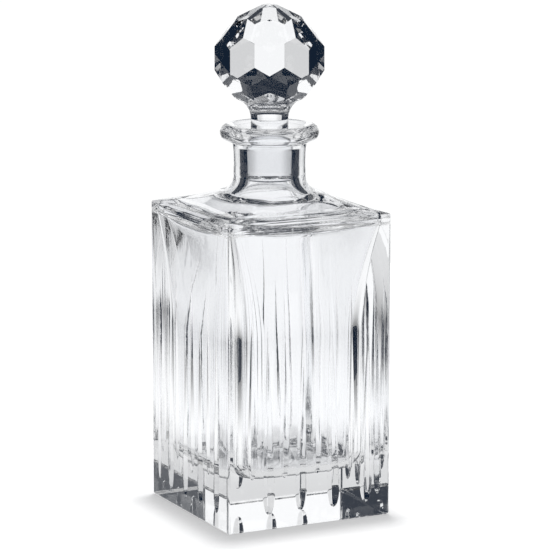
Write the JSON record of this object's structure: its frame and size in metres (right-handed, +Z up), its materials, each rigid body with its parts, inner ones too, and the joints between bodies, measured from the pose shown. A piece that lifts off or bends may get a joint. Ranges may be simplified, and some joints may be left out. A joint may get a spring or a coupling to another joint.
{
  "type": "cut crystal decanter",
  "caption": "Square cut crystal decanter with a thick foot, round neck, rolled lip, vertical mitre cuts and a faceted ball stopper that lifts out.",
  "frame": {"origin": "centre of the underside, on the surface the decanter stands on", "axes": "+Z up along the neck, -Y out of the front face, +X to the right of it"},
  "size_m": [0.094, 0.094, 0.2659],
  "materials": {
    "bottle_crystal": "polished colourless crystal",
    "stopper_crystal": "polished colourless crystal"
  },
  "bodies": {
    "bottle": {"bottle": "bottle_crystal"},
    "stopper": {"stopper": "stopper_crystal"}
  },
  "joints": [
    {"name": "stopper_lift", "type": "slide", "parent": "bottle", "child": "stopper", "axis": [0, 0, 1], "range_m": [0, 0.06]}
  ]
}
